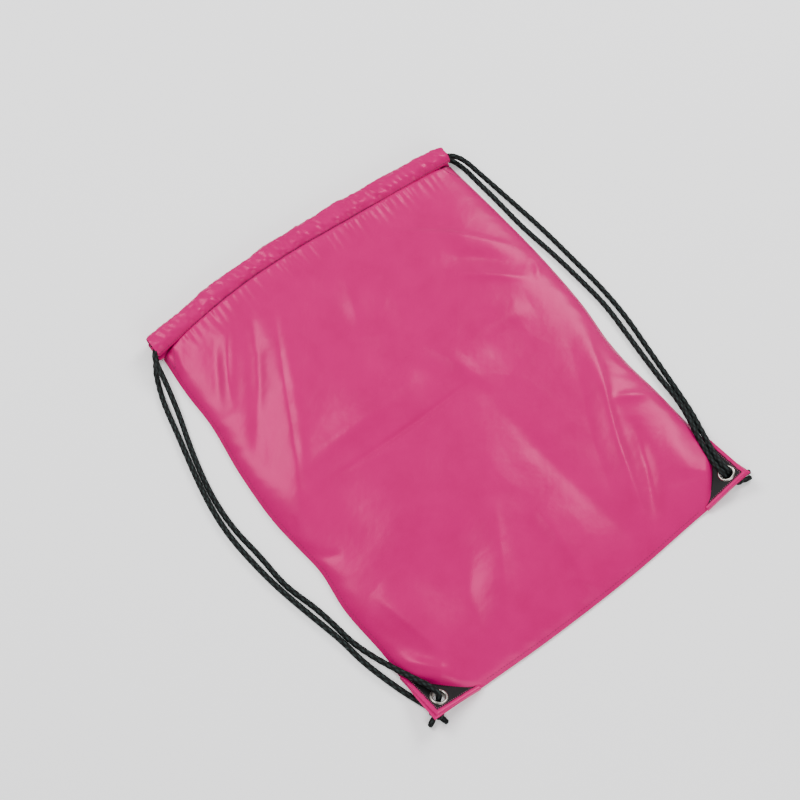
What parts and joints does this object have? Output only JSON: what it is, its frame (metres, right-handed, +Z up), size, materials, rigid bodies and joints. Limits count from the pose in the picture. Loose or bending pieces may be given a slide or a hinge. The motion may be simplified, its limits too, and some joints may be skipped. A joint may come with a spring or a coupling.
{
  "type": "drawstring sack",
  "caption": "Flat cloth sack with a gathered mouth, carried and hopped in, closed by cords that run through a casing to eyelets in its corners.",
  "frame": {"origin": "middle of the sack's own box, on the surface that it lies on, without its cords", "axes": "+X across the sack to its right side, +Y towards the mouth, +Z up from the floor, front face up"},
  "size_m": [0.4502, 0.4766, 0.021],
  "materials": {
    "nylon_cloth": "fine plain weave with a soft satin sheen",
    "braided_cord": "round braid, matt with a faint sheen",
    "corner_patch": "embossed synthetic leather, satin",
    "eyelet": "nickel plated, polished",
    "thread": "twisted polyester sewing thread"
  },
  "bodies": {
    "bag": {"back_casing": "nylon_cloth", "back_casing_thread": "thread", "back_panel": "nylon_cloth", "bottom_seam": "nylon_cloth", "bottom_thread": "thread", "front_casing": "nylon_cloth", "front_casing_thread": "thread", "front_panel": "nylon_cloth", "left_back_patch": "corner_patch", "left_cord_back_strand": "braided_cord", "left_cord_front_strand": "braided_cord", "left_cord_knot": "braided_cord", "left_cord_tails": "braided_cord", "left_eyelet": "eyelet", "left_eyelet_washer": "eyelet", "left_front_patch": "corner_patch", "left_patch_thread": "thread", "left_side_seam": "nylon_cloth", "left_side_thread": "thread", "left_slit_bartack": "thread", "right_back_patch": "corner_patch", "right_cord_back_strand": "braided_cord", "right_cord_front_strand": "braided_cord", "right_cord_knot": "braided_cord", "right_cord_tails": "braided_cord", "right_eyelet": "eyelet", "right_eyelet_washer": "eyelet", "right_front_patch": "corner_patch", "right_patch_thread": "thread", "right_side_seam": "nylon_cloth", "right_side_thread": "thread", "right_slit_bartack": "thread"},
    "left_cord": {"left_cord_casing_run": "braided_cord", "right_back_cuff": "nylon_cloth", "right_front_cuff": "nylon_cloth"},
    "right_cord": {"left_back_cuff": "nylon_cloth", "left_front_cuff": "nylon_cloth", "right_cord_casing_run": "braided_cord"}
  },
  "joints": [
    {"name": "left_cord_pull", "type": "slide", "parent": "bag", "child": "left_cord", "axis": [-1, 0, 0], "range_m": [0, 0.08], "deforming": ["front_casing", "back_casing", "front_casing_thread", "back_casing_thread", "left_cord_front_strand", "left_cord_back_strand"]},
    {"name": "right_cord_pull", "type": "slide", "parent": "bag", "child": "right_cord", "axis": [1, 0, 0], "range_m": [0, 0.08], "deforming": ["front_casing", "back_casing", "front_casing_thread", "back_casing_thread", "right_cord_front_strand", "right_cord_back_strand"]}
  ]
}
